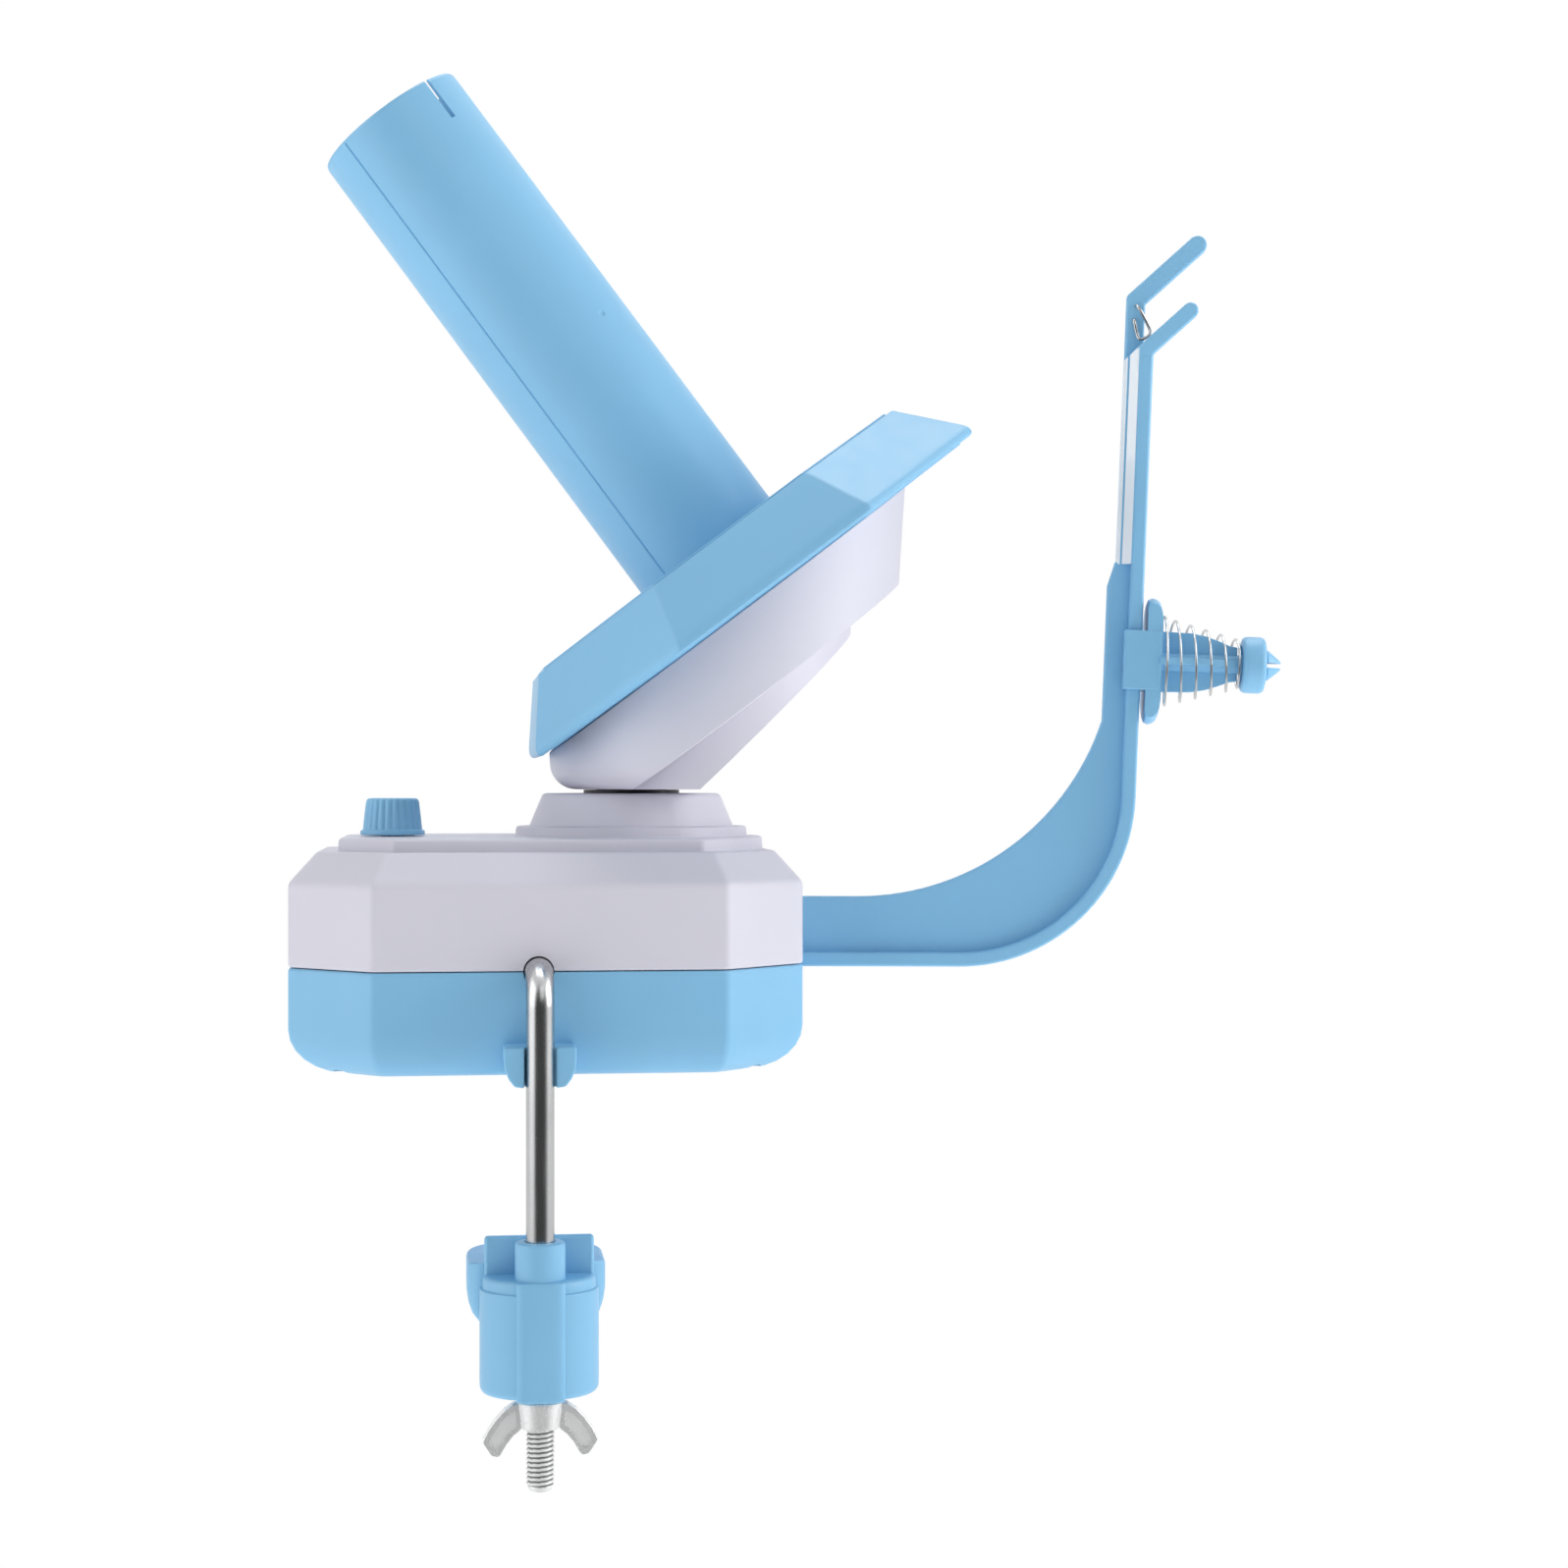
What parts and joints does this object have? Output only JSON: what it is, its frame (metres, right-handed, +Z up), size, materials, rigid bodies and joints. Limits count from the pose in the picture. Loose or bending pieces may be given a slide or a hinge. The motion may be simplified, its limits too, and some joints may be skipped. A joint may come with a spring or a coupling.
{
  "type": "electric yarn ball winder",
  "caption": "Electric yarn ball winder: a tilted spool on a turning head, fed by a guide arm with a sprung tension post, on a motor case with a speed knob and a table clamp.",
  "frame": {"origin": "the head's vertical turning axis, in the plane of the case's underside, which stands on the table top", "axes": "+X to the guide arm's side, +Y to the back, away from the clamp, +Z up"},
  "size_m": [0.2248, 0.123, 0.3098],
  "materials": {
    "blue_plastic": "satin moulded ABS",
    "pale_plastic": "satin moulded ABS",
    "black_plastic": "matt moulded",
    "nylon": "natural",
    "rubber": "matt",
    "steel": "bright",
    "plated_steel": "plated",
    "brass": "turned",
    "board": "solder mask"
  },
  "bodies": {
    "base": {"lower_case": "blue_plastic", "upper_case": "pale_plastic", "case_screws": "steel", "foot_pads": "rubber", "collar_bush": "black_plastic", "centre_post": "steel", "sun_gear": "nylon", "motor_can": "steel", "motor_plate": "steel", "motor_screws": "steel", "idler_axle": "steel", "control_board": "board", "dc_inlet": "black_plastic", "speed_potentiometer": "black_plastic", "potentiometer_nut": "steel", "guide_arm": "blue_plastic", "guide_wire": "steel", "tension_post": "blue_plastic", "tension_spring": "steel", "clamp_rod": "plated_steel"},
    "head": {"head_base": "pale_plastic", "head_housing": "pale_plastic", "head_gear": "nylon", "neck_ring": "steel", "head_screws": "steel", "spool_axle": "steel", "axle_clip": "steel"},
    "spool": {"spool_tube": "blue_plastic", "spool_flange": "blue_plastic", "spool_gear": "nylon", "spool_screws": "steel", "lower_bush": "brass", "upper_bush": "brass"},
    "idler": {"idler_gear": "nylon"},
    "rotor": {"motor_shaft": "steel", "motor_pinion": "brass"},
    "knob": {"speed_knob": "blue_plastic", "potentiometer_shaft": "steel"},
    "cap": {"tension_cap": "blue_plastic"},
    "jaw": {"clamp_block": "blue_plastic"},
    "nut": {"wing_nut": "plated_steel"}
  },
  "joints": [
    {"name": "head_spin", "type": "hinge", "parent": "base", "child": "head", "pos_m": [0, 0, 0.0613], "axis": [0, 0, 1], "continuous": true},
    {"name": "spool_spin", "type": "hinge", "parent": "head", "child": "spool", "pos_m": [0, 0, 0.1404], "axis": [-0.6018, 0, 0.7986], "continuous": true},
    {"name": "idler_spin", "type": "hinge", "parent": "base", "child": "idler", "pos_m": [-0.0315, 0.02125, 0.035], "axis": [0, 0, 1], "continuous": true},
    {"name": "rotor_spin", "type": "hinge", "parent": "base", "child": "rotor", "pos_m": [-0.05473, 0.0152, 0.03], "axis": [0, 0, 1], "continuous": true},
    {"name": "speed_turn", "type": "hinge", "parent": "base", "child": "knob", "pos_m": [-0.0545, 0, 0.0506], "axis": [0, 0, -1], "range_deg": [0, 280]},
    {"name": "cap_push", "type": "slide", "parent": "base", "child": "cap", "axis": [-0.984, 0.1735, 0.0401], "range_m": [0, 0.0025], "stiffness_N_per_m": 250, "springref_m": -0.004, "deforming": ["tension_spring"]},
    {"name": "jaw_slide", "type": "slide", "parent": "base", "child": "jaw", "axis": [0, 0, 1], "range_m": [0, 0.02]},
    {"name": "nut_turn", "type": "hinge", "parent": "jaw", "child": "nut", "pos_m": [-0.0227, -0.054, -0.07], "axis": [0, 0, 1], "range_deg": [0, 7200]}
  ],
  "couplings": [
    {"joint": "spool_spin", "follows": "head_spin", "ratio": 0.47222},
    {"joint": "idler_spin", "follows": "head_spin", "ratio": -3.75},
    {"joint": "rotor_spin", "follows": "head_spin", "ratio": 15},
    {"joint": "nut_turn", "follows": "jaw_slide", "rad_per_m": 6283.2}
  ]
}
